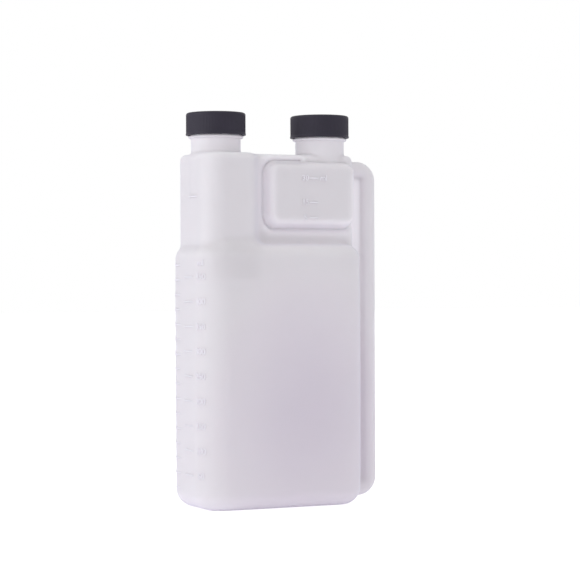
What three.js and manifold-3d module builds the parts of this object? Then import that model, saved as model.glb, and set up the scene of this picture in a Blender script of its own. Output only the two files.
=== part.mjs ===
// Twin-neck measuring bottle, 500 ml, blow moulded in one piece, with two ribbed screw caps.
// Millimetres, +Z up. The front is towards -Y, the filler neck on the left, the dosing neck on the right.
// The origin is under the middle of the whole outline, on the surface that the bottle stands on.
import * as THREE from 'three';
import { mergeVertices } from 'three/addons/utils/BufferGeometryUtils.js';
import Module from 'manifold-3d';

// Wall of the blown bottle and the clearance between pieces that touch
const wall = 1.1;
const clearance = 0.3;

// Main body
const bodyWidth = 91;
const bodyDepth = 50;
const bodyCorner = 14;
const bodyHeight = 132.5;
const baseRounding = 8.8;
const shoulderRounding = 7;
const pushUpMargin = 12;
const pushUpDepth = 1.6;

// What stands on the shoulder: the filler tower, and the thin plate that runs from it to the right
const upperHeight = 45.9;
const topRounding = 3;
const towerSideInset = 3;
const towerFrontInset = 3.5;
const towerCorner = 10;
const towerWidth = 23;
const blendWidth = 12;
const plateHalfDepth = 11.5;
const plateCorner = 5;
const plateInset = 2.3;

// Dosing chamber, standing proud of the plate, and the pinched groove that closes it off
const chamberWidth = 49.2;
const chamberAboveShoulder = 9.3;
const chamberBelowTop = 4;
const chamberHalfDepth = 16;
const chamberCorner = 6;
const chamberRounding = 3.4;
const grooveWidth = 2.2;
const pinchThickness = 2.4;
const ledgeGrooveDepth = 2.4;
const ledgeGrooveLength = 13;

// Feed tube from the foot of the body up to the top of the dosing chamber, and its pinched web
const tubeRadius = 4.1;
const tubeBore = 3;
const tubeStandOff = 11.9;
const tubeAboveBase = 6.5;
const tubeBelowChamberTop = 2.5;
const tubeBend = 4.7;

// Necks, in the common 28 mm screw finish
const fillerNeckInset = 14;
const dosingNeckInset = 13.5;
const neckHeight = 17.6;
const neckRadius = 12.5;
const neckBore = 10.7;
const neckFlare = 3;
const neckFlareHeight = 5;
const neckFlareAbove = 1;
const rimChamfer = 0.4;
const beadRadius = 13.85;
const beadThickness = 1.1;

// Screw caps and their liners
const capTopThickness = 1.5;
const capHeight = 11.4;
const capSkirtRadius = 15.1;
const capBoreRadius = 13.9;
const capEdgeRounding = 0.8;
const capRibDepth = 0.25;
const capRibCount = 72;
const capBandRadius = 15.2;
const capBandHeight = 1;
const linerThickness = 1;
const linerRadius = 13.2;

// Raised scales: millilitres and fluid ounces up the narrow left side, and the dose marks
const markProud = 0.3;
const markHeight = 0.7;
const millilitreScale = { count: 9, aboveBase: 17.4, belowShoulder: 16.1, from: -9, to: 1.5 };
const ounceScale = { count: 16, aboveBase: 10, belowShoulder: 10, from: 7, to: 17.5 };
const towerMark = { aboveShoulder: 24.2, from: -9, to: 1.5 };
const doseScale = { aboveChamberFloor: [4.4, 12.2, 24.6], fromChamberSide: 22.4, length: 4.6 };

// Places worked out from the sizes above
const topHeight = bodyHeight + upperHeight;
const towerLeft = -bodyWidth / 2 + towerSideInset;
const towerHalfDepth = bodyDepth / 2 - towerFrontInset;
const plateRight = bodyWidth / 2 - plateInset;
const chamberLeft = plateRight - chamberWidth;
const chamberBottom = bodyHeight + chamberAboveShoulder;
const chamberTop = topHeight - chamberBelowTop;
const tubeCentreX = bodyWidth / 2 + tubeStandOff;
const tubeTopZ = chamberTop - tubeBelowChamberTop;
const tubeRight = tubeCentreX + tubeRadius;
const fillerNeckX = towerLeft + fillerNeckInset;
const dosingNeckX = plateRight - dosingNeckInset;
const rimHeight = topHeight + neckHeight;
const linerBottom = rimHeight + clearance;
const capTop = linerBottom + linerThickness + clearance + capTopThickness;
const capBottom = capTop - capHeight;
const beadTop = capBottom - clearance;
const middleX = (tubeRight - bodyWidth / 2 - markProud) / 2;

// How finely the curves are divided
const cornerSteps = 3;
const roundSteps = 40;
const roundingSteps = 3;
const easeSteps = 7;
const tubeSteps = 3;
const bendSteps = 6;

const wasm = await Module();
wasm.setup();

// A closed geometry as a solid that can be joined and cut
function solidOf(geometry) {
  const bare = geometry.clone();
  bare.deleteAttribute('normal');
  bare.deleteAttribute('uv');
  const merged = mergeVertices(bare, 1e-4);
  const vertProperties = new Float32Array(merged.attributes.position.array);
  const triVerts = new Uint32Array(merged.index.array);
  return new wasm.Manifold(new wasm.Mesh({ numProp: 3, vertProperties, triVerts }));
}

function joined(solids) {
  return solids.reduce((whole, next) => whole.add(next));
}

function geometryOf(solid) {
  const mesh = solid.getMesh();
  const geometry = new THREE.BufferGeometry();
  geometry.setAttribute('position', new THREE.BufferAttribute(new Float32Array(mesh.vertProperties), 3));
  geometry.setIndex(new THREE.BufferAttribute(new Uint32Array(mesh.triVerts), 1));
  geometry.computeVertexNormals();
  return geometry;
}

// A rectangle with rounded corners, drawn from its lowest to its highest corner
function roundedRectangle(left, low, right, high, corner) {
  const shape = new THREE.Shape();
  shape.moveTo(left + corner, low);
  shape.lineTo(right - corner, low);
  shape.absarc(right - corner, low + corner, corner, -Math.PI / 2, 0);
  shape.lineTo(right, high - corner);
  shape.absarc(right - corner, high - corner, corner, 0, Math.PI / 2);
  shape.lineTo(left + corner, high);
  shape.absarc(left + corner, high - corner, corner, Math.PI / 2, Math.PI);
  shape.lineTo(left, low + corner);
  shape.absarc(left + corner, low + corner, corner, Math.PI, 1.5 * Math.PI);
  return shape;
}

// The outline as corner points, with each point that repeats its neighbour left out
function pointed(shape) {
  const points = shape.getPoints(cornerSteps);
  return new THREE.Shape(points.filter((point, at) => point.distanceTo(points.at(at - 1)) > 1e-3));
}

// A plan outline stood up between two heights, with both of its rims rounded alike
function column(shape, low, high, rounding) {
  const geometry = new THREE.ExtrudeGeometry(pointed(shape), {
    depth: high - low - 2 * rounding,
    bevelEnabled: rounding > 0,
    bevelThickness: rounding,
    bevelSize: rounding,
    bevelOffset: -rounding,
    bevelSegments: roundingSteps,
  });
  geometry.translate(0, 0, low + rounding);
  return solidOf(geometry);
}

// An outline drawn in X and Z, thick in Y on both sides of the parting plane
function panel(shape, halfDepth, rounding) {
  const geometry = new THREE.ExtrudeGeometry(pointed(shape), {
    depth: 2 * (halfDepth - rounding),
    bevelEnabled: rounding > 0,
    bevelThickness: rounding,
    bevelSize: rounding,
    bevelOffset: -rounding,
    bevelSegments: roundingSteps,
  });
  geometry.translate(0, 0, -(halfDepth - rounding));
  geometry.rotateX(Math.PI / 2);
  return solidOf(geometry);
}

function block(left, right, front, back, low, high) {
  const geometry = new THREE.BoxGeometry(right - left, back - front, high - low);
  geometry.translate((left + right) / 2, (front + back) / 2, (low + high) / 2);
  return solidOf(geometry);
}

// A turned form on a vertical axis, from a profile of radius and height points
function turned(points, centreX) {
  const profile = points.map(([radius, height]) => new THREE.Vector2(radius, height));
  const geometry = new THREE.LatheGeometry(profile, roundSteps);
  geometry.rotateX(Math.PI / 2);
  geometry.translate(centreX, 0, 0);
  return solidOf(geometry);
}

function roundRod(path, radius, steps) {
  const section = new THREE.Shape();
  section.absarc(0, 0, radius, 0, 2 * Math.PI);
  const options = { extrudePath: path, steps, curveSegments: tubeSteps };
  return solidOf(new THREE.ExtrudeGeometry(section, options));
}

// The body below the shoulder, drawn in by an inset for the inside of its wall
function bodyForm(inset) {
  const side = bodyWidth / 2 - inset;
  const front = bodyDepth / 2 - inset;
  const outline = roundedRectangle(-side, -front, side, front, bodyCorner - inset);
  const waist = bodyHeight / 2;
  const lower = column(outline, inset, waist + bodyCorner, baseRounding - inset);
  const upper = column(outline, waist - bodyCorner, bodyHeight - inset, shoulderRounding - inset);
  return lower.add(upper);
}

// The shallow hollow in the base that leaves a foot all round
function pushUp(inset) {
  const side = bodyWidth / 2 - pushUpMargin + inset;
  const front = bodyDepth / 2 - pushUpMargin + inset;
  const outline = roundedRectangle(-side, -front, side, front, bodyCorner / 2 + inset);
  return column(outline, -pushUpDepth - inset, pushUpDepth + inset, pushUpDepth / 2);
}

// An edge that eases over from one line to another in a half wave
function easeAcross(shape, fromX, fromY, toX, toY) {
  for (let step = 1; step <= easeSteps; step += 1) {
    const share = step / easeSteps;
    const rise = (1 - Math.cos(Math.PI * share)) / 2;
    shape.lineTo(fromX + (toX - fromX) * share, fromY + (toY - fromY) * rise);
  }
}

// Plan of the tower and plate: square at the left, easing back in a long curve to the thin plate
function towerOutline(inset, right) {
  const left = towerLeft + inset;
  const deep = towerHalfDepth - inset;
  const thin = plateHalfDepth - inset;
  const corner = towerCorner - inset;
  const end = plateCorner - inset;
  const blendStart = towerLeft + towerWidth;
  const blendEnd = blendStart + blendWidth;
  const shape = new THREE.Shape();
  shape.moveTo(left + corner, -deep);
  shape.lineTo(blendStart, -deep);
  easeAcross(shape, blendStart, -deep, blendEnd, -thin);
  shape.lineTo(right - end, -thin);
  shape.absarc(right - end, -thin + end, end, -Math.PI / 2, 0);
  shape.lineTo(right, thin - end);
  shape.absarc(right - end, thin - end, end, 0, Math.PI / 2);
  shape.lineTo(blendEnd, thin);
  easeAcross(shape, blendEnd, thin, blendStart, deep);
  shape.lineTo(left + corner, deep);
  shape.absarc(left + corner, deep - corner, corner, Math.PI / 2, Math.PI);
  shape.lineTo(left, -deep + corner);
  shape.absarc(left + corner, -deep + corner, corner, Math.PI, 1.5 * Math.PI);
  return shape;
}

function chamberOutline(grow) {
  return roundedRectangle(
    chamberLeft - grow, chamberBottom - grow, plateRight + grow, chamberTop + grow,
    chamberCorner + grow,
  );
}

// The groove round the chamber: down to the pinched web at the left and below,
// and shallow under the top ledge
function pinchGroove() {
  const ring = panel(chamberOutline(grooveWidth), bodyDepth, 0)
    .subtract(panel(chamberOutline(0), 2 * bodyDepth, 0));
  const web = panel(chamberOutline(2 * grooveWidth), pinchThickness / 2, 0);
  const turn = chamberTop - chamberCorner;
  const ledge = block(
    chamberLeft + chamberCorner, 2 * plateRight, -plateHalfDepth + ledgeGrooveDepth,
    plateHalfDepth - ledgeGrooveDepth, turn, topHeight,
  );
  const ledgeEnd = chamberLeft + chamberCorner + ledgeGrooveLength;
  const neckSide = block(ledgeEnd, 2 * plateRight, -bodyDepth, bodyDepth, turn, topHeight);
  const overLedge = block(
    chamberLeft - 2 * grooveWidth, ledgeEnd, -plateHalfDepth + ledgeGrooveDepth,
    plateHalfDepth - ledgeGrooveDepth, chamberTop, topHeight,
  );
  return ring.subtract(web).subtract(ledge).subtract(neckSide).subtract(overLedge);
}

// The run of the feed tube: out of the foot, up the side and back into the chamber
function tubeForm(radius) {
  const inner = plateRight - chamberCorner;
  const bendX = tubeCentreX - tubeBend;
  const lap = radius / 8;
  const flatRun = (z) => new THREE.LineCurve3(
    new THREE.Vector3(inner, 0, z), new THREE.Vector3(bendX + lap, 0, z),
  );
  const low = tubeAboveBase + tubeBend;
  const high = tubeTopZ - tubeBend;
  const riser = new THREE.LineCurve3(
    new THREE.Vector3(tubeCentreX, 0, low - lap), new THREE.Vector3(tubeCentreX, 0, high + lap),
  );
  const lowBend = new THREE.QuadraticBezierCurve3(
    new THREE.Vector3(bendX, 0, tubeAboveBase), new THREE.Vector3(tubeCentreX, 0, tubeAboveBase),
    new THREE.Vector3(tubeCentreX, 0, low),
  );
  const highBend = new THREE.QuadraticBezierCurve3(
    new THREE.Vector3(tubeCentreX, 0, high), new THREE.Vector3(tubeCentreX, 0, tubeTopZ),
    new THREE.Vector3(bendX, 0, tubeTopZ),
  );
  return joined([
    roundRod(flatRun(tubeAboveBase), radius, 1),
    roundRod(lowBend, radius, bendSteps),
    roundRod(riser, radius, 1),
    roundRod(highBend, radius, bendSteps),
    roundRod(flatRun(tubeTopZ), radius, 1),
  ]);
}

// A neck with its flared root and the transfer bead just under the cap
function neckForm(centreX, rootZ) {
  const flare = [0, 0.25, 0.5, 0.75, 1].map((step) => {
    const angle = (step * Math.PI) / 2;
    return [
      neckRadius + neckFlare * (1 - Math.sin(angle)),
      topHeight + neckFlareAbove - neckFlareHeight * Math.cos(angle),
    ];
  });
  return turned([
    [0, rootZ], [neckRadius + neckFlare, rootZ], ...flare,
    [neckRadius, beadTop - 2 * beadThickness], [beadRadius, beadTop - beadThickness],
    [beadRadius, beadTop - beadThickness / 4], [neckRadius, beadTop],
    [neckRadius, rimHeight - rimChamfer], [neckRadius - rimChamfer, rimHeight], [0, rimHeight],
  ], centreX);
}

// One raised line of a scale, following the outline that it stands on
function raisedMark(outline, z, from, to, left) {
  const band = column(outline, z - markHeight / 2, z + markHeight / 2, 0);
  return band.intersect(block(-bodyWidth, left, from, to, z - markHeight, z + markHeight));
}

function scaleMarks() {
  const side = bodyWidth / 2 + markProud;
  const front = bodyDepth / 2 + markProud;
  const bodyOutline = roundedRectangle(-side, -front, side, front, bodyCorner + markProud);
  const inside = -bodyWidth / 2 + bodyCorner;
  const marks = [];
  for (const scale of [millilitreScale, ounceScale]) {
    const pitch = (bodyHeight - scale.belowShoulder - scale.aboveBase) / (scale.count - 1);
    for (let step = 0; step < scale.count; step += 1) {
      marks.push(raisedMark(bodyOutline, scale.aboveBase + step * pitch, scale.from, scale.to, inside));
    }
  }
  const tower = towerOutline(-markProud, plateRight);
  const towerZ = bodyHeight + towerMark.aboveShoulder;
  marks.push(raisedMark(tower, towerZ, towerMark.from, towerMark.to, towerLeft + towerCorner));
  const face = -chamberHalfDepth;
  const left = chamberLeft + doseScale.fromChamberSide;
  for (const rise of doseScale.aboveChamberFloor) {
    const low = chamberBottom + rise - markHeight / 2;
    marks.push(block(
      left, left + doseScale.length, face - markProud, face + markProud, low, low + markHeight,
    ));
  }
  return joined(marks);
}

function bottleSolid() {
  const rootZ = bodyHeight - 2 * shoulderRounding;
  const web = block(
    plateRight - chamberCorner, tubeCentreX, -pinchThickness / 2, pinchThickness / 2,
    tubeAboveBase, tubeTopZ,
  );
  const upper = joined([
    column(towerOutline(0, plateRight), rootZ, topHeight, topRounding),
    panel(chamberOutline(0), chamberHalfDepth, chamberRounding),
  ]).subtract(pinchGroove());
  const neckRoot = topHeight - 2 * neckFlareHeight;
  const outside = joined([
    bodyForm(0).subtract(pushUp(0)),
    upper,
    neckForm(fillerNeckX, neckRoot),
    neckForm(dosingNeckX, neckRoot),
    tubeForm(tubeRadius),
    web,
    scaleMarks(),
  ]);
  const grooveSide = chamberLeft - grooveWidth - wall;
  const grooveFloor = chamberBottom - grooveWidth - wall;
  const besideChamber = block(-bodyWidth, grooveSide, -bodyDepth, bodyDepth, 0, topHeight);
  const mainSpace = joined([
    bodyForm(wall).subtract(pushUp(wall)),
    column(towerOutline(wall, plateRight - wall), rootZ, topHeight - wall, topRounding - wall)
      .intersect(besideChamber),
    column(towerOutline(wall, plateRight - wall), rootZ, grooveFloor, 0),
  ]);
  const ledgeSpace = plateHalfDepth - ledgeGrooveDepth - wall;
  const doseSpace = joined([
    panel(chamberOutline(-wall), chamberHalfDepth - wall, chamberRounding - wall),
    block(chamberLeft + chamberCorner, plateRight - chamberCorner, -ledgeSpace, ledgeSpace,
      chamberTop - chamberCorner, topHeight - wall),
  ]);
  const bores = [fillerNeckX, dosingNeckX].map((x) => turned([
    [0, neckRoot + wall], [neckRadius + neckFlare - wall, neckRoot + wall],
    [neckRadius + neckFlare - wall, topHeight - neckFlareHeight], [neckBore, topHeight + neckFlareAbove],
    [neckBore, rimHeight + clearance], [0, rimHeight + clearance],
  ], x));
  return outside.subtract(joined([mainSpace, doseSpace, tubeForm(tubeBore), ...bores]));
}

// The shell of a cap: flat top with a rounded edge, fine upright ribs, and a plain band at the foot
function capSolid() {
  const ribs = new THREE.Shape();
  const root = capSkirtRadius - capRibDepth;
  const points = [];
  for (let rib = 0; rib < capRibCount; rib += 1) {
    const crest = (rib * 2 * Math.PI) / capRibCount;
    const valley = crest + Math.PI / capRibCount;
    points.push(new THREE.Vector2(capSkirtRadius * Math.cos(crest), capSkirtRadius * Math.sin(crest)));
    points.push(new THREE.Vector2(root * Math.cos(valley), root * Math.sin(valley)));
  }
  ribs.setFromPoints(points);
  const edge = [0, 0.33, 0.67, 1].map((step) => {
    const angle = (step * Math.PI) / 2;
    return [
      root - capEdgeRounding * (1 - Math.cos(angle)),
      capHeight - capEdgeRounding * (1 - Math.sin(angle)),
    ];
  });
  const core = turned([
    [0, 0], [capBandRadius, 0], [capBandRadius, capBandHeight], [root, capBandHeight],
    ...edge, [0, capHeight],
  ], 0);
  const bore = turned([
    [0, -clearance], [capBoreRadius, -clearance], [capBoreRadius, capHeight - capTopThickness],
    [0, capHeight - capTopThickness],
  ], 0);
  return column(ribs, capBandHeight / 2, capHeight - capEdgeRounding, 0).add(core).subtract(bore);
}

function linerSolid() {
  return turned([[0, 0], [linerRadius, 0], [linerRadius, linerThickness], [0, linerThickness]], 0);
}

function piece(name, solid, material, x, z) {
  const mesh = new THREE.Mesh(geometryOf(solid), material);
  mesh.name = name;
  mesh.position.set(x, 0, z);
  return mesh;
}

const naturalPlastic = () => new THREE.MeshStandardMaterial({
  color: 0xe6e3e8, roughness: 0.45, metalness: 0, transparent: true, opacity: 0.85,
});
const blackPlastic = () => new THREE.MeshStandardMaterial({ color: 0x2e2d31, roughness: 0.5, metalness: 0 });
const foamPlastic = () => new THREE.MeshStandardMaterial({ color: 0xf2f2ef, roughness: 0.9, metalness: 0 });

const bottle = new THREE.Group();
bottle.position.x = -middleX;
bottle.add(piece('bottle', bottleSolid(), naturalPlastic(), 0, 0));
for (const [side, x] of [['filler', fillerNeckX], ['dosing', dosingNeckX]]) {
  bottle.add(piece(`${side}_cap`, capSolid(), blackPlastic(), x, capBottom));
  bottle.add(piece(`${side}_cap_liner`, linerSolid(), foamPlastic(), x, linerBottom));
}

export default bottle;
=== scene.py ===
# Looks of a twin-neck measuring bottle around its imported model: the blown bottle with its
# raised scales, the two screw caps with their liners, and a plain bright photo table.
import math

import bmesh
import bpy
import numpy as np
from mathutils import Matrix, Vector


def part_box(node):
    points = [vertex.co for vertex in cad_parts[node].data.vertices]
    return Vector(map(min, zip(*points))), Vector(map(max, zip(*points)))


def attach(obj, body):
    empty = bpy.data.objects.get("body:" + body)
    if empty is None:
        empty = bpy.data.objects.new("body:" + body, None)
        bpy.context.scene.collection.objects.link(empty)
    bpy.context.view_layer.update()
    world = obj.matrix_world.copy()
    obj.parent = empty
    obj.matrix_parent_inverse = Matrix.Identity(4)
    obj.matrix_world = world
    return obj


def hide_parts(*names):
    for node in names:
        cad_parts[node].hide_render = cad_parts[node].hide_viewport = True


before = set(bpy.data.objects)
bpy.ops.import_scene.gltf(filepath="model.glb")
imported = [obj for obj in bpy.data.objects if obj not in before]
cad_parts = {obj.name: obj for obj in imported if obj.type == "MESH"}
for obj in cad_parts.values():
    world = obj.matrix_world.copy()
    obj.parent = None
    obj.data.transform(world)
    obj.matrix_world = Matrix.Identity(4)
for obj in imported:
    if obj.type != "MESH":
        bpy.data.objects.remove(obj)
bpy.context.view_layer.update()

# Camera: level with the lower body, a metre away, looking past the scale side on to the front.
# The long lens keeps the uprights parallel, and the small shift sets the bottle left of the middle.
MM = 0.001
scale_relief = 0.3
body_half_width = 45.5
body_axis = Vector((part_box("bottle")[0].x / MM + scale_relief + body_half_width, 0, 0)) * MM
view_turn = math.radians(24.5)
camera_roll = math.radians(0.25)
camera_away = 1026 * MM
camera_height = 114.1 * MM
photo_width = 580
focal_pixels = 2007.8
right_pixels, up_pixels = 22.2, -8.8
camera_data = bpy.data.cameras.new("photo_camera")
camera_data.sensor_width = 36
camera_data.lens = focal_pixels / photo_width * camera_data.sensor_width
camera_data.shift_x = right_pixels / photo_width
camera_data.shift_y = up_pixels / photo_width
camera_data.clip_start = 0.05
camera_data.clip_end = 20
camera = bpy.data.objects.new("photo_camera", camera_data)
bpy.context.collection.objects.link(camera)
camera.location = body_axis + Vector(
    (-math.sin(view_turn) * camera_away, -math.cos(view_turn) * camera_away, camera_height)
)
camera.rotation_euler = (math.pi / 2, camera_roll, -view_turn)
bpy.context.scene.camera = camera


# The bottle: one blown piece of natural polyethylene, a flat body with a filler tower on the left,
# a dosing chamber on the right and a feed tube up the right side, joined by a pinched web.
# Its skin is one smooth form, in millimetres from the middle of the foot, hollowed to an even wall.
BODY = {"half_x": 45.25, "half_y": 24.75, "corner": 14, "top": 132.5, "belly": 0.25}
BODY |= {"shoulder_round": 7, "foot_round": 8.8}
PUSH_UP = {"half_x": 33.5, "half_y": 13, "corner": 8, "height": 1.8, "top_round": 1.6, "rim_round": 1.2}
TOWER = {"left": -42.5, "half_y": 21.5, "corner": 10, "top": 178.4, "blend": (-19.5, -7.5)}
TOWER |= {"edge_round": 3, "start": 118}
PLATE = {"half_y": 11.5, "right": 44.4, "corner": 5}
CHAMBER = {"left": -6.0, "right": 43.2, "bottom": 141.8, "top": 174.4, "half_y": 16, "corner": 6}
CHAMBER |= {"edge_round": 3.4, "root_fillet": 1.0}
GROOVE = {"round_chamber": 1.2, "half_width": 0.35, "flare": 0.22, "edge_round": 2.2, "end_x": 14}
GROOVE |= {"skin_floor": 8.8, "cavity_floor": 0.2}
GROOVE |= {"upper_floor": 9.3, "upper_z": (166, 173), "upper_x": (-5, 0)}
SHOULDER = {"crease": 1.2, "middle_crease": 3.6, "left": (-42, -34), "right": (32, 42)}
TUBE = {"x": 56.84, "bottom": 6.5, "top": 171.9, "radius": 4.1, "bend": 5.9, "web": 1.2}
TUBE |= {"web_fillet": 1.2, "body_fillet": 1.4, "start_x": 36}
NECK = {"filler_x": -28.5, "dosing_x": 29.7, "radius": 12.5, "bore": 10.7, "rim": 196, "pitch": 4.2}
NECK |= {"start": 168, "rim_round": 0.5, "foot_fillet": 0.9}
NECK |= {"bore_start": 172, "bore_end": 199, "bore_fillet": 1.5}
BEAD = {"radius": 13.85, "z": 186.85, "half": 0.6, "edge_round": 0.4, "fillet": 0.3}
THREAD = {"first_z": 189.4, "turns": 1.4, "proud": 1.05, "half": 0.55, "slope": 0.55, "edge_round": 0.3}
WALL = 1.3


def fillet(a, b, radius):
    """Two solids joined, with a round fillet in the crease."""
    u = np.maximum(radius - a, 0)
    v = np.maximum(radius - b, 0)
    return np.maximum(radius, np.minimum(a, b)) - np.hypot(u, v)


def rounded(a, b, radius):
    """What two solids share, with its edge rounded over."""
    u = np.maximum(radius + a, 0)
    v = np.maximum(radius + b, 0)
    return np.minimum(-radius, np.maximum(a, b)) + np.hypot(u, v)


def plan_box(x, y, half_x, half_y, corner):
    """Distance from a rectangle with round corners, less than nought inside it."""
    u = np.abs(x) - half_x + corner
    v = np.abs(y) - half_y + corner
    return np.hypot(np.maximum(u, 0), np.maximum(v, 0)) + np.minimum(np.maximum(u, v), 0) - corner


def eased(value, low, high):
    """Nought below low, one above high, and a smooth rise between them."""
    share = np.clip((value - low) / (high - low), 0, 1)
    return share * share * (3 - 2 * share)


def body_skin(x, y, z):
    swell = BODY["belly"] * np.sin(np.pi * np.clip(z / BODY["top"], 0, 1))
    sides = plan_box(x, y, BODY["half_x"], BODY["half_y"], BODY["corner"]) - swell
    block = rounded(sides, z - BODY["top"], BODY["shoulder_round"])
    block = rounded(block, -z, BODY["foot_round"])
    plan = plan_box(x, y, PUSH_UP["half_x"], PUSH_UP["half_y"], PUSH_UP["corner"])
    push_up = rounded(plan, z - PUSH_UP["height"], PUSH_UP["top_round"])
    return rounded(block, -push_up, PUSH_UP["rim_round"])


def chamber_plan(x, z):
    middle_x = (CHAMBER["left"] + CHAMBER["right"]) / 2
    middle_z = (CHAMBER["bottom"] + CHAMBER["top"]) / 2
    half_x = (CHAMBER["right"] - CHAMBER["left"]) / 2
    half_z = (CHAMBER["top"] - CHAMBER["bottom"]) / 2
    return plan_box(x - middle_x, z - middle_z, half_x, half_z, CHAMBER["corner"])


def upper_skin(x, y, z, pinch):
    """Tower, plate and chamber. The groove round the chamber goes in to pinch from the middle."""
    start, end = TOWER["blend"]
    share = np.clip((x - start) / (end - start), 0, 1)
    drop = TOWER["half_y"] - PLATE["half_y"]
    depth = TOWER["half_y"] - drop * (1 - np.cos(np.pi * share)) / 2
    lean = drop * np.pi / 2 * np.sin(np.pi * share) / (end - start)
    front = (np.abs(y) - depth) / np.hypot(1, lean)
    plan = rounded(TOWER["left"] - x, front, TOWER["corner"])
    plan = rounded(plan, x - PLATE["right"], PLATE["corner"])
    tower = rounded(plan, z - TOWER["top"], TOWER["edge_round"])
    tower = np.maximum(tower, TOWER["start"] - z)
    outline = chamber_plan(x, z)
    chamber = rounded(outline, np.abs(y) - CHAMBER["half_y"], CHAMBER["edge_round"])
    both = fillet(tower, chamber, CHAMBER["root_fillet"])
    above = eased(z, *GROOVE["upper_z"])
    floor = pinch + (GROOVE["upper_floor"] - pinch) * above * eased(x, *GROOVE["upper_x"])
    width = GROOVE["half_width"] + GROOVE["flare"] * np.maximum(np.abs(y) - floor, 0)
    groove = np.maximum(np.abs(outline - GROOVE["round_chamber"]) - width, floor - np.abs(y))
    past_plate = 60
    groove = np.maximum(groove, x - GROOVE["end_x"] - past_plate * (1 - above))
    return rounded(both, -groove, GROOVE["edge_round"])


def tube_skin(x, y, z):
    middle_z = (TUBE["bottom"] + TUBE["top"]) / 2
    half_z = (TUBE["top"] - TUBE["bottom"]) / 2
    loop = plan_box(x, z - middle_z, TUBE["x"], half_z, TUBE["bend"])
    tube = np.hypot(loop, y) - TUBE["radius"]
    web = np.maximum(loop, np.abs(y) - TUBE["web"])
    return np.maximum(fillet(tube, web, TUBE["web_fillet"]), TUBE["start_x"] - x)


def thread_ridge(around, out, z):
    """One moulded thread: a helix of even section that runs out at both ends."""
    far_away = 9.0
    runs_out = 9
    flank_lean = 0.88
    ridge = np.full_like(out, far_away)
    for lap in range(-1, math.ceil(THREAD["turns"]) + 1):
        turned = around / (2 * math.pi) + lap
        centre = THREAD["first_z"] + NECK["pitch"] * turned
        fade = np.clip(np.minimum(turned, THREAD["turns"] - turned) * runs_out, -2, 1)
        crest = NECK["radius"] + THREAD["proud"] * fade
        flank = np.abs(z - centre) - THREAD["half"] - THREAD["slope"] * (crest - out)
        ridge = np.minimum(ridge, rounded(out - crest, flank * flank_lean, THREAD["edge_round"]))
    return ridge


def neck_skin(x, y, z, neck_x):
    out = np.hypot(x - neck_x, y)
    around = np.mod(np.arctan2(y, x - neck_x), 2 * math.pi)
    neck = np.maximum(out - NECK["radius"], NECK["start"] - z)
    neck = rounded(neck, z - NECK["rim"], NECK["rim_round"])
    bead = rounded(out - BEAD["radius"], np.abs(z - BEAD["z"]) - BEAD["half"], BEAD["edge_round"])
    neck = fillet(neck, bead, BEAD["fillet"])
    return fillet(neck, thread_ridge(around, out, z), THREAD["edge_round"])


def blown_form(x, y, z, pinch):
    middle = eased(x, *SHOULDER["left"]) * (1 - eased(x, *SHOULDER["right"]))
    crease = SHOULDER["crease"] + SHOULDER["middle_crease"] * middle
    block = fillet(body_skin(x, y, z), upper_skin(x, y, z, pinch), crease)
    return fillet(block, tube_skin(x, y, z), TUBE["body_fillet"])


def bottle_outside(x, y, z):
    whole = blown_form(x, y, z, GROOVE["skin_floor"])
    for neck_x in (NECK["filler_x"], NECK["dosing_x"]):
        whole = fillet(whole, neck_skin(x, y, z, neck_x), NECK["foot_fillet"])
    return whole


def bottle_inside(x, y, z):
    space = blown_form(x, y, z, GROOVE["cavity_floor"]) + WALL
    for neck_x in (NECK["filler_x"], NECK["dosing_x"]):
        ends = np.maximum(z - NECK["bore_end"], NECK["bore_start"] - z)
        bore = np.maximum(np.hypot(x - neck_x, y) - NECK["bore"], ends)
        space = fillet(space, bore, NECK["bore_fillet"])
    return space


def field_steps(*stretches):
    """Grid lines along one axis: (start, end, step) stretches laid end to end."""
    return np.concatenate([np.arange(a, b - step / 2, step) for a, b, step in stretches])


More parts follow.
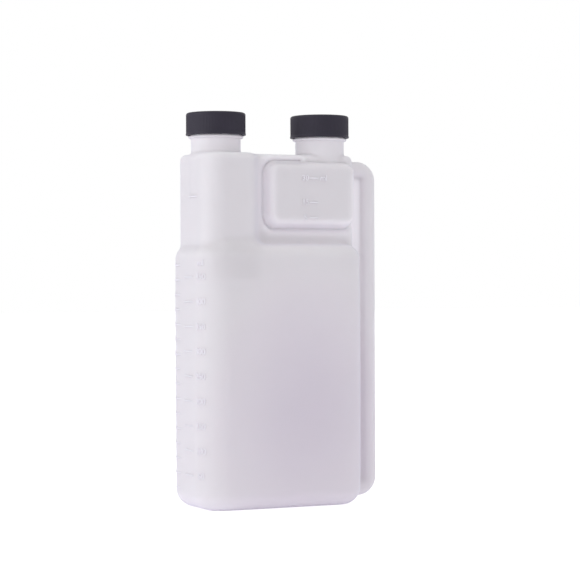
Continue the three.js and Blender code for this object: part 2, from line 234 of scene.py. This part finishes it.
def meshed(name, form, xs, ys, zs):
    """The zero surface of a form as quads, one point in each grid cell that it crosses.

    Each point is then moved a few steps along the form's own slope until it lies on the surface.
    """
    gx, gy, gz = np.meshgrid(xs, ys, zs, indexing="ij")
    value = form(gx, gy, gz)
    inside = value < 0
    shape = np.array(value.shape)
    corners = [(i, j, k) for i in (0, 1) for j in (0, 1) for k in (0, 1)]
    count = sum(
        inside[i : shape[0] - 1 + i, j : shape[1] - 1 + j, k : shape[2] - 1 + k].astype(int)
        for i, j, k in corners
    )
    cells = np.argwhere((count > 0) & (count < 8))
    number = np.full(tuple(shape - 1), -1)
    number[tuple(cells.T)] = np.arange(len(cells))
    total = np.zeros((len(cells), 3))
    hits = np.zeros(len(cells))
    for axis in range(3):
        step = np.eye(3, dtype=int)[axis]
        for corner in corners:
            if corner[axis]:
                continue
            low = cells + np.array(corner)
            high = low + step
            a, b = value[tuple(low.T)], value[tuple(high.T)]
            crossed = (a < 0) != (b < 0)
            share = np.where(crossed, a / np.where(a == b, 1, a - b), 0)
            start = np.stack([xs[low[:, 0]], ys[low[:, 1]], zs[low[:, 2]]], 1)
            end = np.stack([xs[high[:, 0]], ys[high[:, 1]], zs[high[:, 2]]], 1)
            total += np.where(crossed[:, None], start + (end - start) * share[:, None], 0)
            hits += crossed
    points = total / hits[:, None]
    nudge = 0.02
    least_steep = 0.25
    longest_move = 0.4
    for _ in range(4):
        here = form(*points.T)
        slope = np.stack([form(*(points + d).T) - form(*(points - d).T) for d in np.eye(3) * nudge], 1)
        slope /= 2 * nudge
        steep = np.maximum((slope**2).sum(1), least_steep)
        points -= np.clip(here / steep, -longest_move, longest_move)[:, None] * slope
    quads = []
    for axis in range(3):
        u, v = [(1, 2), (2, 0), (0, 1)][axis]
        step = np.eye(3, dtype=int)
        low = tuple(slice(None, -1) if n == axis else slice(1, -1) for n in range(3))
        high = tuple(slice(1, None) if n == axis else slice(1, -1) for n in range(3))
        edges = np.argwhere(inside[low] != inside[high])
        edges += 1 - step[axis]
        out = inside[tuple(edges.T)]
        ring = [edges - step[u] - step[v], edges - step[v], edges, edges - step[u]]
        quad = np.stack([number[tuple(r.T)] for r in ring], 1)
        quads.append(np.where(out[:, None], quad, quad[:, ::-1]))
    quads = np.concatenate(quads)
    mesh = bpy.data.meshes.new(name)
    mesh.from_pydata((points * MM + np.array(body_axis)).tolist(), [], quads.tolist())
    mesh.validate()
    thing = bpy.data.objects.new(name, mesh)
    bpy.context.collection.objects.link(thing)
    return thing


outside_step = 1.0
thread_step = 0.45
inside_step = 1.8
thread_from = 184.5
bottle = meshed(
    "bottle_shell",
    bottle_outside,
    field_steps((-47.0, 64, outside_step)),
    field_steps((-26.5, 27, outside_step)),
    field_steps((-1.5, thread_from, outside_step), (thread_from, 198, thread_step)),
)
space = meshed(
    "bottle_space",
    bottle_inside,
    field_steps((-47.0, 64, inside_step)),
    field_steps((-27.0, 28, inside_step)),
    field_steps((-1.5, 202, inside_step)),
)
cut = bottle.modifiers.new("hollow", "BOOLEAN")
cut.operation = "DIFFERENCE"
cut.object = space
cut.solver = "EXACT"
worked_out = bpy.context.evaluated_depsgraph_get()
hollowed = bpy.data.meshes.new_from_object(bottle.evaluated_get(worked_out))
bottle.modifiers.clear()
bottle.data = hollowed
bpy.data.objects.remove(space)
bottle.data.shade_smooth()


def nodes_of(name):
    material = bpy.data.materials.new(name)
    material.use_nodes = True
    return material, material.node_tree.nodes, material.node_tree.links


def noise(nodes, scale, detail):
    node = nodes.new("ShaderNodeTexNoise")
    node.inputs["Scale"].default_value = scale
    node.inputs["Detail"].default_value = detail
    return node


def bump(nodes, strength, distance):
    node = nodes.new("ShaderNodeBump")
    node.inputs["Strength"].default_value = strength
    node.inputs["Distance"].default_value = distance
    return node


def colour_ramp(nodes, low_at, low, high_at, high):
    node = nodes.new("ShaderNodeValToRGB")
    ends = node.color_ramp.elements
    ends[0].position, ends[0].color = low_at, (*low, 1)
    ends[1].position, ends[1].color = high_at, (*high, 1)
    return node


def natural_plastic(name, depth, low, high):
    """Milky polyethylene: satin skin, light scattered in the wall, faint flow, a mould seam.

    depth is the share of light scattered inside the wall, low and high the ends of its colour.
    The colour is darkened towards the middle of each broad side and is whitest at the corners: painted
    shade, standing in for the dimmer middle of the lit milky wall.
    """
    material, nodes, links = nodes_of(name)
    shader = nodes["Principled BSDF"]
    shader.inputs["Roughness"].default_value = 0.4
    shader.inputs["IOR"].default_value = 1.5
    shader.inputs["Specular IOR Level"].default_value = 0.35
    shader.inputs["Subsurface Weight"].default_value = depth
    shader.inputs["Subsurface Radius"].default_value = (0.95, 1.0, 1.0)
    shader.inputs["Subsurface Scale"].default_value = 0.003
    shader.inputs["Sheen Weight"].default_value = 0.25
    shader.inputs["Sheen Roughness"].default_value = 0.35
    shader.inputs["Sheen Tint"].default_value = (0.72, 0.74, 1.0, 1)
    place = nodes.new("ShaderNodeTexCoord")
    cloud = noise(nodes, 14, 3)
    tint = colour_ramp(nodes, 0.3, low, 0.75, high)
    grain = noise(nodes, 700, 2)
    flow = noise(nodes, 45, 1)
    fine_bump = bump(nodes, 0.06, 0.0002)
    wave_bump = bump(nodes, 0.12, 0.0008)
    links.new(place.outputs["Object"], cloud.inputs["Vector"])
    links.new(cloud.outputs["Fac"], tint.inputs["Fac"])
    # Painted shade: a round gradient about the middle of the body multiplies the colour down to about
    # four fifths towards the middle of each broad side.
    middle = nodes.new("ShaderNodeMapping")
    middle.vector_type = "TEXTURE"
    middle.inputs["Location"].default_value = (0.004, 0, 0.046)
    middle.inputs["Scale"].default_value = (0.07, 0.2, 0.09)
    painted_shade_gradient = nodes.new("ShaderNodeTexGradient")
    painted_shade_gradient.gradient_type = "SPHERICAL"
    painted_shade_ramp = colour_ramp(nodes, 0.0, (1, 1, 1), 0.9, (0.80, 0.79, 0.82))
    painted_shade_ramp.color_ramp.interpolation = "EASE"
    wall = nodes.new("ShaderNodeMixRGB")
    wall.blend_type = "MULTIPLY"
    wall.inputs["Fac"].default_value = 1
    links.new(place.outputs["Object"], middle.inputs["Vector"])
    links.new(middle.outputs["Vector"], painted_shade_gradient.inputs["Vector"])
    links.new(painted_shade_gradient.outputs["Fac"], painted_shade_ramp.inputs["Fac"])
    links.new(tint.outputs["Color"], wall.inputs["Color1"])
    links.new(painted_shade_ramp.outputs["Color"], wall.inputs["Color2"])
    links.new(wall.outputs["Color"], shader.inputs["Base Color"])
    links.new(place.outputs["Object"], grain.inputs["Vector"])
    links.new(place.outputs["Object"], flow.inputs["Vector"])
    links.new(grain.outputs["Fac"], fine_bump.inputs["Height"])
    links.new(flow.outputs["Fac"], wave_bump.inputs["Height"])
    links.new(wave_bump.outputs["Normal"], fine_bump.inputs["Normal"])
    axes = nodes.new("ShaderNodeSeparateXYZ")
    off_seam = nodes.new("ShaderNodeMath")
    off_seam.operation = "ABSOLUTE"
    seam = nodes.new("ShaderNodeMapRange")
    seam.inputs["From Min"].default_value = 0.00008
    seam.inputs["From Max"].default_value = 0.00035
    seam.inputs["To Min"].default_value = 1
    seam.inputs["To Max"].default_value = 0
    seam_bump = bump(nodes, 0.6, 0.00012)
    links.new(place.outputs["Object"], axes.inputs["Vector"])
    links.new(axes.outputs["Y"], off_seam.inputs[0])
    links.new(off_seam.outputs["Value"], seam.inputs["Value"])
    links.new(seam.outputs["Result"], seam_bump.inputs["Height"])
    links.new(fine_bump.outputs["Normal"], seam_bump.inputs["Normal"])
    links.new(seam_bump.outputs["Normal"], shader.inputs["Normal"])
    return material


milky = natural_plastic("natural_polyethylene", 1.0, (0.955, 0.915, 0.967), (0.98, 0.94, 0.974))
bottle.data.materials.append(milky)
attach(bottle, "bottle")
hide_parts("bottle")

# The scales: short lines and plain numbers raised in the mould, 50 to 450 ml and 1 to 16 fl oz on
# the narrow side, a mark on the tower, and 5, 15 and 30 ml on the dosing chamber. Places along
# the wall are measured from the middle of the narrow side towards the front.
MARK = {"proud": 0.28, "sunk": 0.5, "width": 0.7, "edge": 0.06, "end_drop": 0.12, "step": 0.8}
MILLILITRES = {"count": 9, "each": 50, "first": 17.4, "last": 116.4, "line": (-1.5, 9)}
MILLILITRES |= {"figures": 16.5, "height": 3.1, "unit_above": 7}
OUNCES = {"count": 16, "first": 10, "last": 122.5, "line": (-17.5, -7), "figures": -20.1, "height": 2.6}
TOWER_MARK = 156.7
DOSES = {5: 146.2, 15: 154.0, 30: 166.4}
DOSE = {"x": 16.4, "line": (0, 4.6), "figures": -2.4, "unit": 7.8, "height": 2.9}

ridge_low, ridge_high = (0.93, 0.915, 0.955), (0.95, 0.935, 0.965)
thick_ridge = natural_plastic("natural_polyethylene_ridge", 0.0, ridge_low, ridge_high)


def round_side(left, half_y, corner, along, z, out):
    """A place on a left side with round corners, measured round it from its middle to the front."""
    flat = half_y - corner
    run = max(abs(along) - flat, 0)
    turn = min(run / corner, math.pi / 2)
    rest = run - turn * corner
    x = left + corner - (corner + out) * math.cos(turn) + rest
    y = -math.copysign(min(abs(along), flat) + (corner + out) * math.sin(turn), along)
    return Vector((x, y, z))


def side_point(along, z, out):
    swell = BODY["belly"] * math.sin(math.pi * z / BODY["top"])
    left = -(BODY["half_x"] + swell)
    return round_side(left, BODY["half_y"] + swell, BODY["corner"], along, z, out)


def tower_point(along, z, out):
    return round_side(TOWER["left"], TOWER["half_y"], TOWER["corner"], along, z, out)


def front_point(along, z, out):
    """A place on the flat front of the dosing chamber."""
    return Vector((DOSE["x"] + along, -CHAMBER["half_y"] - out, z))


def line_relief(build, wrap, ends, z):
    """One raised line with sloping sides, laid on the wall that it belongs to."""
    low_along, high_along = ends
    steps = max(2, round((high_along - low_along) / MARK["step"]))
    half, top_half, over_wall = 0.5, 0.3, 0.02
    section = [(-half, -MARK["sunk"]), (-half, over_wall), (-top_half, MARK["proud"])]
    section += [(top_half, MARK["proud"]), (half, over_wall), (half, -MARK["sunk"])]
    rings = []
    for step in range(steps + 1):
        along = low_along + (high_along - low_along) * step / steps
        ring = []
        for across, out in section:
            top = MARK["proud"] - MARK["end_drop"] if step in (0, steps) else MARK["proud"]
            place = wrap(along, z + across * MARK["width"], min(out, top))
            ring.append(build.verts.new(place * MM + body_axis))
        rings.append(ring)
    for a, b in zip(rings, rings[1:]):
        for n in range(len(section)):
            m = (n + 1) % len(section)
            build.faces.new((a[n], a[m], b[m], b[n]))
    build.faces.new(rings[0][::-1])
    build.faces.new(rings[-1])


def figure_relief(build, text, height):
    """Plain figures as a slim solid with softened edges, lying in their own plane, in millimetres."""
    curve = bpy.data.curves.new("figures", "FONT")
    curve.body = text
    figure_share = 0.7
    curve.size = height / figure_share
    curve.align_x = "CENTER"
    curve.align_y = "CENTER"
    curve.resolution_u = 3
    curve.offset = 0.02
    curve.extrude = (MARK["proud"] + MARK["sunk"]) / 2 - MARK["edge"]
    curve.bevel_depth = MARK["edge"]
    curve.bevel_resolution = 1
    letters = bpy.data.objects.new("figures", curve)
    bpy.context.collection.objects.link(letters)
    bpy.context.view_layer.update()
    mesh = bpy.data.meshes.new_from_object(letters)
    bpy.data.objects.remove(letters)
    build.from_mesh(mesh)
    bpy.data.meshes.remove(mesh)


def wrapped_figures(build, text, height, wrap, along, z):
    """Plain figures bent round the wall that they stand on, centred at one place along it."""
    flat = bmesh.new()
    figure_relief(flat, text, height)
    centre = (MARK["proud"] + MARK["sunk"]) / 2 - MARK["sunk"]
    for vert in flat.verts:
        x, y, lift = vert.co
        vert.co = wrap(along + x, z + y, centre + lift) * MM + body_axis
    bmesh.ops.recalc_face_normals(flat, faces=flat.faces)
    mesh = bpy.data.meshes.new("wrapped")
    flat.to_mesh(mesh)
    flat.free()
    build.from_mesh(mesh)
    bpy.data.meshes.remove(mesh)


def relief_piece(name, build):
    """One scale as an object that rides on the bottle."""
    bmesh.ops.remove_doubles(build, verts=build.verts, dist=1e-7)
    bmesh.ops.recalc_face_normals(build, faces=build.faces)
    mesh = bpy.data.meshes.new(name)
    build.to_mesh(mesh)
    build.free()
    mesh.materials.append(thick_ridge)
    piece = bpy.data.objects.new(name, mesh)
    bpy.context.collection.objects.link(piece)
    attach(piece, "bottle")
    return piece


scale = bmesh.new()
pitch = (MILLILITRES["last"] - MILLILITRES["first"]) / (MILLILITRES["count"] - 1)
height, figures_at = MILLILITRES["height"], MILLILITRES["figures"]
for step in range(MILLILITRES["count"]):
    z = MILLILITRES["first"] + step * pitch
    amount = str(MILLILITRES["each"] * (step + 1))
    line_relief(scale, side_point, MILLILITRES["line"], z)
    wrapped_figures(scale, amount, height, side_point, figures_at, z)
unit_z = MILLILITRES["last"] + MILLILITRES["unit_above"]
wrapped_figures(scale, "ml", height, side_point, figures_at, unit_z)
line_relief(scale, tower_point, MILLILITRES["line"], TOWER_MARK)
relief_piece("millilitre_scale", scale)

scale = bmesh.new()
pitch = (OUNCES["last"] - OUNCES["first"]) / (OUNCES["count"] - 1)
for step in range(OUNCES["count"]):
    z = OUNCES["first"] + step * pitch
    line_relief(scale, side_point, OUNCES["line"], z)
    wrapped_figures(scale, str(step + 1), OUNCES["height"], side_point, OUNCES["figures"], z)
relief_piece("ounce_scale", scale)

scale = bmesh.new()
for dose, z in DOSES.items():
    line_relief(scale, front_point, DOSE["line"], z)
    wrapped_figures(scale, str(dose), DOSE["height"], front_point, DOSE["figures"], z)
wrapped_figures(scale, "ml", DOSE["height"], front_point, DOSE["unit"], max(DOSES.values()))
relief_piece("dose_scale", scale)

# The screw caps: black moulded polypropylene with fine upright ribs, a rounded top edge, a plain
# band at the foot and a thread inside that hangs between the turns of the neck's thread.
CAP = {"top": 199.1, "height": 11.4, "radius": 15.1, "band": 15.2, "bore": 13.9, "plate": 1.5}
CAP |= {"top_round": 1.1, "under_ribs": 0.05, "mouth_round": 0.25, "disc_drop": 0.12}
RIBS = {"count": 120, "depth": 0.16, "valley": 0.35, "steps": 6, "low": 1.25, "high": 10.2}
RIBS |= {"low_fade": 0.25, "high_fade": 0.5}
CAP_THREAD = {"first_z": 191.5, "deep": 0.5, "low": 1.6, "high": 7.6, "runs_out": 0.6}
CAP_THREAD |= {"half": 0.75, "flank": 0.35, "ring_step": 0.3, "rings": 30}


def between(value):
    return min(max(value, 0), 1)


def cap_outside(around, height):
    """Radius of the cap's outside at one angle and height over its foot."""
    wave = (1 - math.cos(around * RIBS["count"])) / 2
    low_share = between((height - RIBS["low"]) / RIBS["low_fade"])
    fade = low_share * between((RIBS["high"] - height) / RIBS["high_fade"])
    depth = RIBS["depth"] * (RIBS["valley"] + (1 - RIBS["valley"]) * wave)
    return CAP["radius"] - depth * fade - CAP["under_ribs"] * (1 - fade)


def cap_bore(around, height, foot):
    """Radius of the cap's inside: a plain bore with a thread that runs out at both ends."""
    pitch = NECK["pitch"]
    turned = (foot + height - CAP_THREAD["first_z"] - pitch * around / (2 * math.pi)) / pitch
    off = abs(turned - round(turned)) * pitch
    runs = between((height - CAP_THREAD["low"]) / CAP_THREAD["runs_out"])
    runs *= between((CAP_THREAD["high"] - height) / CAP_THREAD["runs_out"])
    ridge = between((CAP_THREAD["half"] - off) / CAP_THREAD["flank"])
    mouth = CAP["mouth_round"] if height == 0 else 0
    return CAP["bore"] + mouth - CAP_THREAD["deep"] * runs * ridge


def cap_mesh(name, centre_x):
    """One cap: rings of points up its outside and over its top, and rings up its bore."""
    sides = RIBS["count"] * RIBS["steps"]
    top = CAP["height"]
    foot = CAP["top"] - top
    edge = CAP["top_round"]
    band = CAP["band"]
    foot_band = [(0.0, band - 0.35), (0.12, band - 0.1), (0.3, band), (0.85, band), (1.05, band - 0.12)]
    rings = [("plain", h, r) for h, r in foot_band]
    rings += [("ribbed", h, 0) for h in (RIBS["low"], 1.4, 1.6, 4.5, 7.5, 9.6, 9.9, RIBS["high"])]
    quarter_steps = 6
    for step in range(1, quarter_steps + 1):
        angle = step / quarter_steps * math.pi / 2
        inward = CAP["under_ribs"] + edge * (1 - math.cos(angle))
        rings.append(("plain", top - edge * (1 - math.sin(angle)), CAP["radius"] - inward))
    rings += [("plain", top, r) for r in (13.4, 12.9)]
    rings += [("plain", top - CAP["disc_drop"], r) for r in (12.6, 9.0, 5.0, 1.2)]
    build = bmesh.new()
    loops = []
    for kind, height, radius in rings:
        loop = []
        for n in range(sides):
            around = 2 * math.pi * n / sides
            out = cap_outside(around, height) if kind == "ribbed" else radius
            loop.append(build.verts.new((out * math.cos(around), out * math.sin(around), foot + height)))
        loops.append(loop)
    for low, high in zip(loops, loops[1:]):
        for n in range(sides):
            m = (n + 1) % sides
            build.faces.new((low[n], low[m], high[m], high[n]))
    build.faces.new(loops[-1])
    inner_sides = 96
    ceiling = top - CAP["plate"]
    ring_step = CAP_THREAD["ring_step"]
    heights = [0.35 + ring_step * n for n in range(CAP_THREAD["rings"] + 1)]
    inner = []
    for height in [0.0] + heights + [ceiling - 0.3, ceiling]:
        loop = []
        for n in range(inner_sides):
            around = 2 * math.pi * n / inner_sides
            out = cap_bore(around, height, foot)
            loop.append(build.verts.new((out * math.cos(around), out * math.sin(around), foot + height)))
        inner.append(loop)
    for low, high in zip(inner, inner[1:]):
        for n in range(inner_sides):
            m = (n + 1) % inner_sides
            build.faces.new((low[m], low[n], high[n], high[m]))
    build.faces.new(inner[-1][::-1])
    share = sides / inner_sides
    for n in range(inner_sides):
        a, b = round(n * share), round((n + 1) * share)
        rim = [loops[0][k % sides] for k in range(a, b + 1)]
        build.faces.new(rim[::-1] + [inner[0][n], inner[0][(n + 1) % inner_sides]])
    bmesh.ops.recalc_face_normals(build, faces=build.faces)
    for vert in build.verts:
        vert.co = (vert.co + Vector((centre_x, 0, 0))) * MM + body_axis
    mesh = bpy.data.meshes.new(name)
    build.to_mesh(mesh)
    build.free()
    mesh.shade_smooth()
    mesh.set_sharp_from_angle(angle=math.radians(50))
    cap = bpy.data.objects.new(name, mesh)
    bpy.context.collection.objects.link(cap)
    return cap


def black_plastic():
    """Black polypropylene: satin, a fine moulded grain and faint cloudy handling marks."""
    material, nodes, links = nodes_of("black_polypropylene")
    shader = nodes["Principled BSDF"]
    shader.inputs["IOR"].default_value = 1.49
    place = nodes.new("ShaderNodeTexCoord")
    grain = noise(nodes, 1600, 2)
    haze = noise(nodes, 70, 3)
    gloss = nodes.new("ShaderNodeMapRange")
    gloss.inputs["To Min"].default_value = 0.42
    gloss.inputs["To Max"].default_value = 0.56
    tint = colour_ramp(nodes, 0.3, (0.0135, 0.0105, 0.023), 0.75, (0.020, 0.0165, 0.032))
    skin = bump(nodes, 0.15, 0.0001)
    links.new(place.outputs["Object"], grain.inputs["Vector"])
    links.new(place.outputs["Object"], haze.inputs["Vector"])
    links.new(haze.outputs["Fac"], gloss.inputs["Value"])
    links.new(gloss.outputs["Result"], shader.inputs["Roughness"])
    links.new(haze.outputs["Fac"], tint.inputs["Fac"])
    links.new(tint.outputs["Color"], shader.inputs["Base Color"])
    links.new(grain.outputs["Fac"], skin.inputs["Height"])
    links.new(skin.outputs["Normal"], shader.inputs["Normal"])
    return material


charcoal = black_plastic()
for side, neck_x in (("filler", NECK["filler_x"]), ("dosing", NECK["dosing_x"])):
    cap = cap_mesh(f"{side}_cap_shell", neck_x)
    cap.data.materials.append(charcoal)
    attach(cap, f"{side}_cap")
    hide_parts(f"{side}_cap")

# The liners: white pressed foam discs that seal the rims. The model's own discs are kept, with
# a fine open-celled skin.
foam, foam_nodes, foam_links = nodes_of("pressed_foam")
foam_shader = foam_nodes["Principled BSDF"]
foam_shader.inputs["Roughness"].default_value = 0.85
foam_place = foam_nodes.new("ShaderNodeTexCoord")
cells = foam_nodes.new("ShaderNodeTexVoronoi")
cells.inputs["Scale"].default_value = 1800
cell_tint = colour_ramp(foam_nodes, 0, (0.78, 0.78, 0.76), 1, (0.88, 0.88, 0.86))
cell_bump = bump(foam_nodes, 0.4, 0.0002)
foam_links.new(foam_place.outputs["Object"], cells.inputs["Vector"])
foam_links.new(cells.outputs["Distance"], cell_tint.inputs["Fac"])
foam_links.new(cell_tint.outputs["Color"], foam_shader.inputs["Base Color"])
foam_links.new(cells.outputs["Distance"], cell_bump.inputs["Height"])
foam_links.new(cell_bump.outputs["Normal"], foam_shader.inputs["Normal"])
for side in ("filler", "dosing"):
    for material_slot in bpy.data.objects[f"{side}_cap_liner"].material_slots:
        material_slot.material = foam

# Floor and light: white paper, an even bright room, a large soft light at the left and a weaker
# one overhead. The camera sees room and paper as plain white, but they light the bottle less
# strongly, so that its milky walls keep their tone.
bpy.context.scene.view_settings.view_transform = "Standard"
world = bpy.data.worlds.new("studio")
bpy.context.scene.world = world
world.use_nodes = True
world_nodes, world_links = world.node_tree.nodes, world.node_tree.links
room = world_nodes["Background"]
room.inputs["Color"].default_value = (0.98, 0.962, 1.0, 1)
room.inputs["Strength"].default_value = 0.67
seen = world_nodes.new("ShaderNodeBackground")
seen.inputs["Color"].default_value = (1, 1, 1, 1)
ray = world_nodes.new("ShaderNodeLightPath")
either = world_nodes.new("ShaderNodeMixShader")
world_links.new(ray.outputs["Is Camera Ray"], either.inputs["Fac"])
world_links.new(room.outputs["Background"], either.inputs[1])
world_links.new(seen.outputs["Background"], either.inputs[2])
world_links.new(either.outputs["Shader"], world_nodes["World Output"].inputs["Surface"])
half_floor = 6
floor_corners = [(x * half_floor, y * half_floor, 0) for x, y in ((-1, -1), (1, -1), (1, 1), (-1, 1))]
floor_mesh = bpy.data.meshes.new("floor")
floor_mesh.from_pydata(floor_corners, [], [(0, 1, 2, 3)])
floor = bpy.data.objects.new("floor", floor_mesh)
bpy.context.collection.objects.link(floor)
paper, paper_nodes, paper_links = nodes_of("white_paper")
paper_face = paper_nodes["Principled BSDF"]
paper_face.inputs["Base Color"].default_value = (0.95, 0.95, 0.95, 1)
paper_face.inputs["Roughness"].default_value = 0.9
paper_face.inputs["Specular IOR Level"].default_value = 0.1
paper_face.inputs["Emission Color"].default_value = (1, 1, 1, 1)
paper_face.inputs["Emission Strength"].default_value = 0.6
bounce = paper_nodes.new("ShaderNodeBsdfDiffuse")
bounce.inputs["Color"].default_value = (0.90, 0.88, 0.94, 1)
glow = paper_nodes.new("ShaderNodeEmission")
glow.inputs["Color"].default_value = (0.97, 0.96, 1.0, 1)
glow.inputs["Strength"].default_value = 0.2
lit_paper = paper_nodes.new("ShaderNodeAddShader")
paper_ray = paper_nodes.new("ShaderNodeLightPath")
paper_mix = paper_nodes.new("ShaderNodeMixShader")
paper_links.new(paper_ray.outputs["Is Camera Ray"], paper_mix.inputs["Fac"])
paper_links.new(bounce.outputs["BSDF"], lit_paper.inputs[0])
paper_links.new(glow.outputs["Emission"], lit_paper.inputs[1])
paper_links.new(lit_paper.outputs["Shader"], paper_mix.inputs[1])
paper_links.new(paper_face.outputs["BSDF"], paper_mix.inputs[2])
paper_links.new(paper_mix.outputs["Shader"], paper_nodes["Material Output"].inputs["Surface"])
floor_mesh.materials.append(paper)


def soft_light(name, place, size, power, tint):
    """A square area light, aimed at the middle of the bottle."""
    data = bpy.data.lights.new(name, "AREA")
    data.shape = "SQUARE"
    data.size = size
    data.energy = power
    data.color = tint
    lamp = bpy.data.objects.new(name, data)
    bpy.context.collection.objects.link(lamp)
    lamp.location = place
    aim = Vector((0, 0, 0.1)) - Vector(place)
    lamp.rotation_euler = aim.to_track_quat("-Z", "Y").to_euler()


soft_light("window_left", (-1.5, -0.1, 0.5), 1.2, 5.6, (0.965, 0.965, 1.0))
soft_light("overhead", (-0.1, -0.3, 1.6), 1.2, 3.6, (1.0, 0.98, 0.985))
